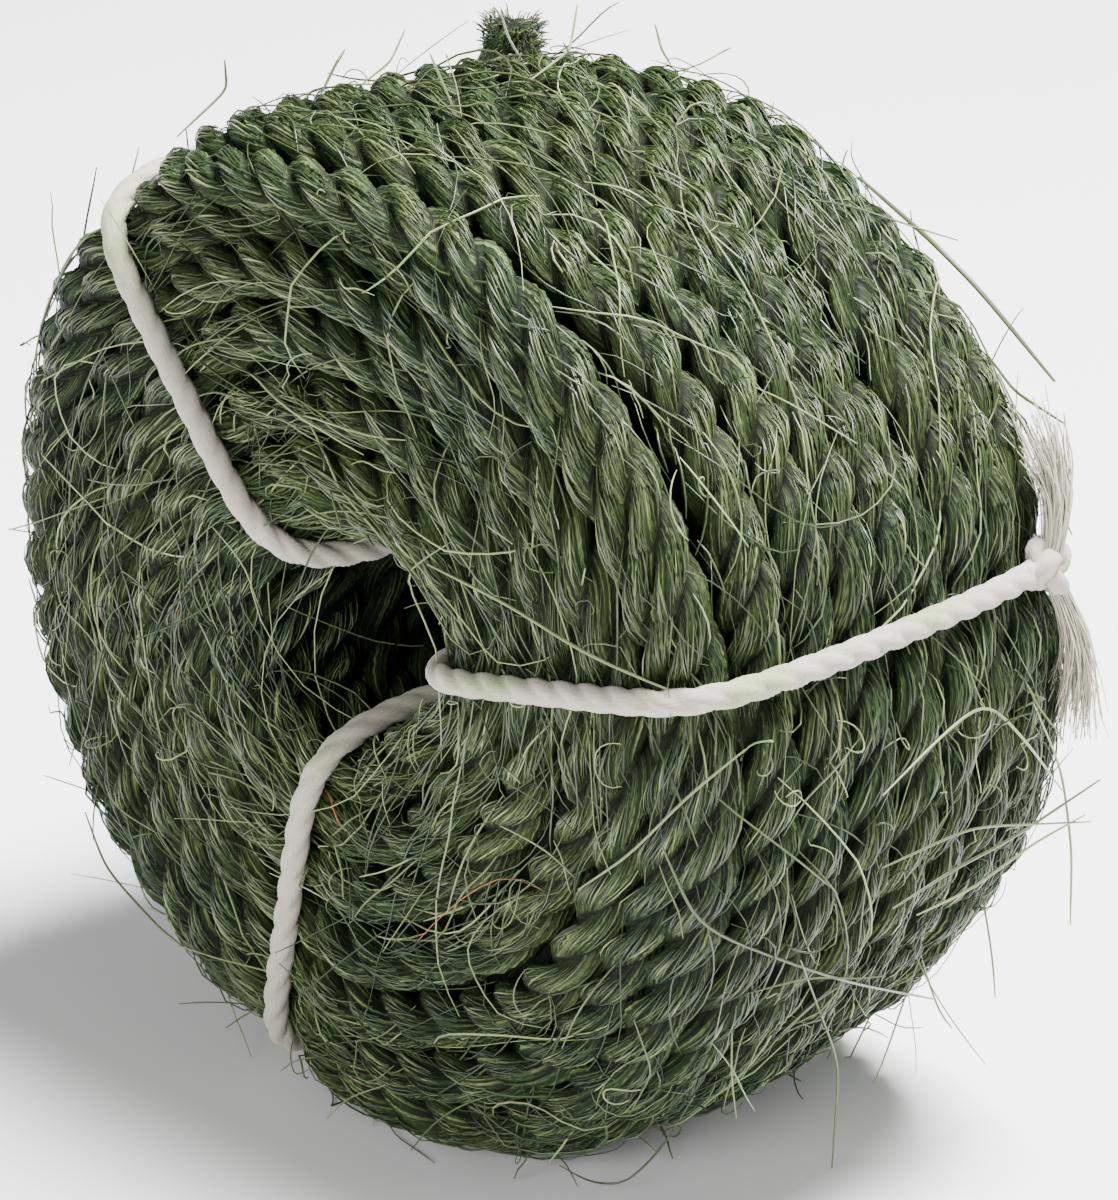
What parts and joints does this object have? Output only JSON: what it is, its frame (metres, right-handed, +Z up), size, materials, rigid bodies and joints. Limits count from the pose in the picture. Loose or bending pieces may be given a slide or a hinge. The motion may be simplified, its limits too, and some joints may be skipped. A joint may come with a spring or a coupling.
{
  "type": "coil of sisal rope",
  "caption": "Short barrel-shaped coil of green dyed three-strand sisal rope with an open core, bound by cotton strings, standing on its rim.",
  "frame": {"origin": "middle of the flat spot on the rim that the coil rests on, under the middle of the winding", "axes": "+Z up, Y along the winding axis with the free rope end on the +Y side, X across"},
  "size_m": [0.1075, 0.0656, 0.1031],
  "materials": {
    "sisal": "coarse dyed sisal fibre, matt and hairy",
    "cotton": "undyed twisted cotton, matt"
  },
  "bodies": {
    "root": {"rope_coil": "sisal", "rope_end": "sisal", "tie_left": "cotton", "tie_right": "cotton", "tie_low": "cotton"}
  },
  "joints": []
}
